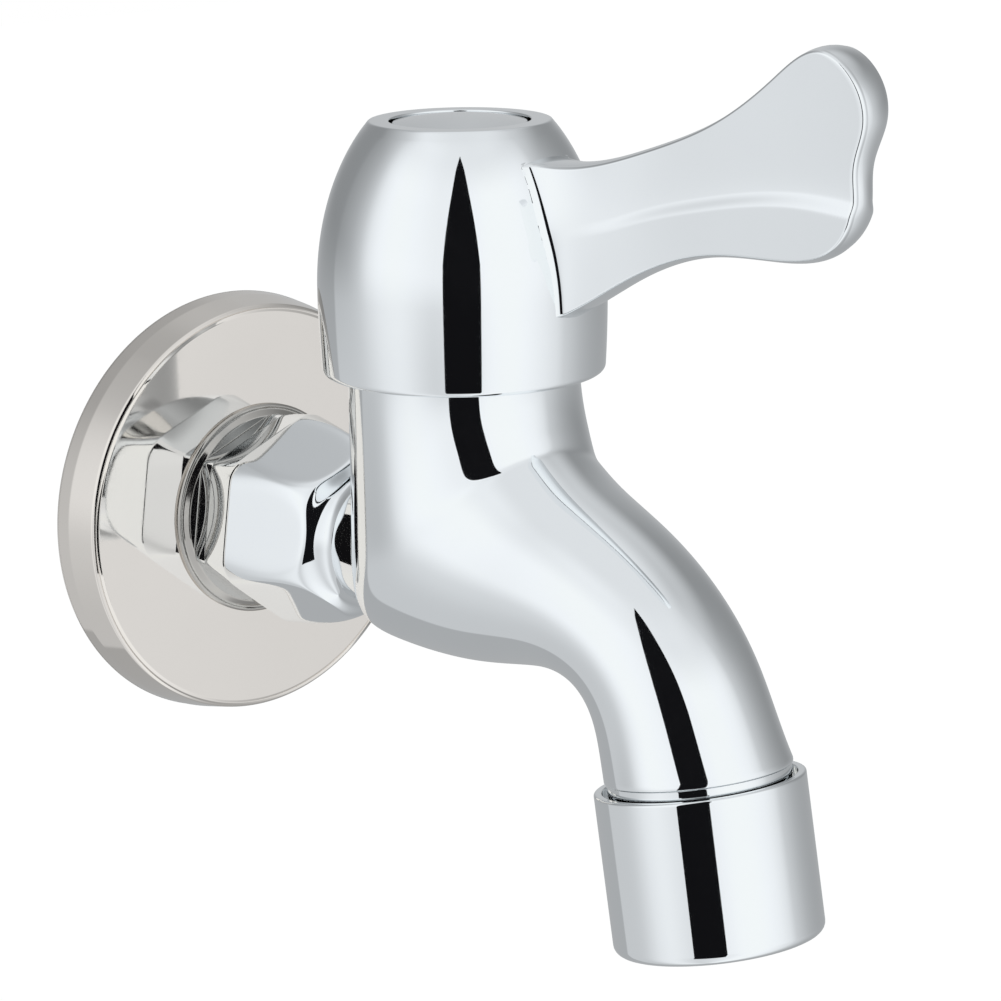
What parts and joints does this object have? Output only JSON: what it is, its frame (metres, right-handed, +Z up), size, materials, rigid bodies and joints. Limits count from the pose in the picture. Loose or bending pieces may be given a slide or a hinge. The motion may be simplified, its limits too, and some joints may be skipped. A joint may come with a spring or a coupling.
{
  "type": "wall tap",
  "caption": "Chromed cold water wall tap with a round flange, hexagon boss, swan spout with sleeve nozzle, and a flat paddle lever on a bell-shaped hub.",
  "frame": {"origin": "where the inlet's axis meets the plane of the wall, on the back rim of the flange", "axes": "+Y along the inlet into the wall, +Z up along the barrel, +X to the right of someone who faces the wall"},
  "size_m": [0.06, 0.1293, 0.1142],
  "materials": {
    "chrome": "polished chrome plate",
    "button_chrome": "satin chrome plate",
    "polished_steel": "polished stainless sheet",
    "dull_steel": "plain steel",
    "screen_steel": "stainless screen",
    "brass": "turned brass",
    "rubber": "black rubber",
    "ceramic": "ground ceramic",
    "white_plastic": "white slide ring",
    "grey_plastic": "moulded aerator plastic"
  },
  "bodies": {
    "tap": {"tap_body": "chrome", "wall_flange": "polished_steel", "flange_washer": "dull_steel", "cartridge_housing": "brass", "housing_gasket": "rubber", "fixed_disc": "ceramic", "seat_gasket": "rubber", "nozzle_sleeve": "chrome", "nozzle_washer": "rubber", "aerator_basket": "grey_plastic", "aerator_diffuser": "grey_plastic", "aerator_screens": "screen_steel", "aerator_spacers": "grey_plastic"},
    "handle": {"handle": "chrome", "handle_screw": "dull_steel", "screw_washer": "dull_steel", "index_button": "button_chrome", "cartridge_stem": "brass", "stem_clip": "dull_steel", "stem_washer": "white_plastic", "stem_o_rings": "rubber", "moving_disc": "ceramic"}
  },
  "joints": [
    {"name": "handle_turn", "type": "hinge", "parent": "tap", "child": "handle", "pos_m": [0, -0.0513, 0.04], "axis": [0, 0, 1], "range_deg": [-9, 81]}
  ]
}
